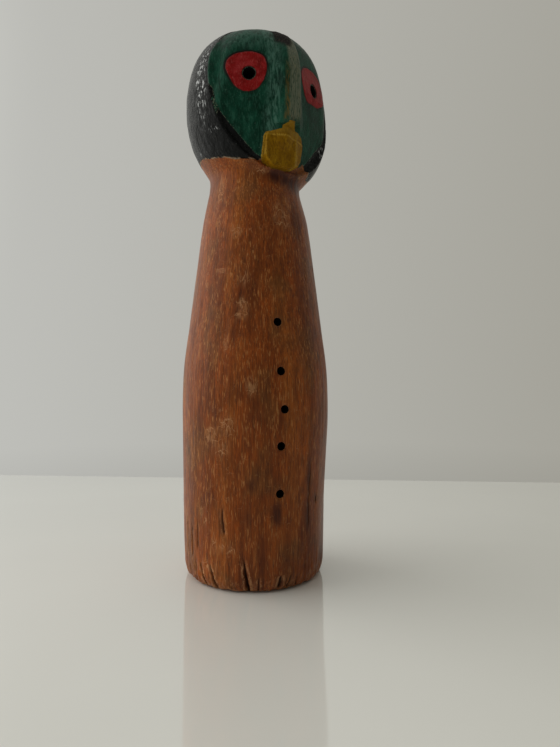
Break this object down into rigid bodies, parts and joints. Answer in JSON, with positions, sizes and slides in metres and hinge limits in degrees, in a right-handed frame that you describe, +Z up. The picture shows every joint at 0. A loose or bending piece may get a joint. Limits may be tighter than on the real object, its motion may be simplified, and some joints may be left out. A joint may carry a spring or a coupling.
{
  "type": "carved wooden figurine",
  "caption": "Hand-carved wooden standing figurine with a tapered body, drilled buttons and a round painted head with a beak.",
  "frame": {"origin": "centre of the base, on the surface that the figurine stands on", "axes": "+Z up along the figure, front of the figure towards -Y, +X to the viewer's right of someone facing the front"},
  "size_m": [0.0598, 0.06, 0.2165],
  "materials": {
    "varnished_wood": "satin varnish over reddish brown hardwood",
    "black_paint": "worn gloss black paint on wood",
    "green_paint": "brushed dark green paint on wood",
    "red_paint": "satin red paint on wood",
    "yellow_paint": "brushed mustard yellow paint on wood",
    "hole_black": "matt black paint inside drilled holes"
  },
  "bodies": {
    "root": {"carved_wood_body": "varnished_wood", "black_hood_paint": "black_paint", "green_face_paint": "green_paint", "red_eye_paint_left": "red_paint", "red_eye_paint_right": "red_paint", "yellow_beak_paint": "yellow_paint", "pupil_black_left": "hole_black", "pupil_black_right": "hole_black", "button_black_1": "hole_black", "button_black_2": "hole_black", "button_black_3": "hole_black", "button_black_4": "hole_black", "button_black_5": "hole_black"}
  },
  "joints": []
}
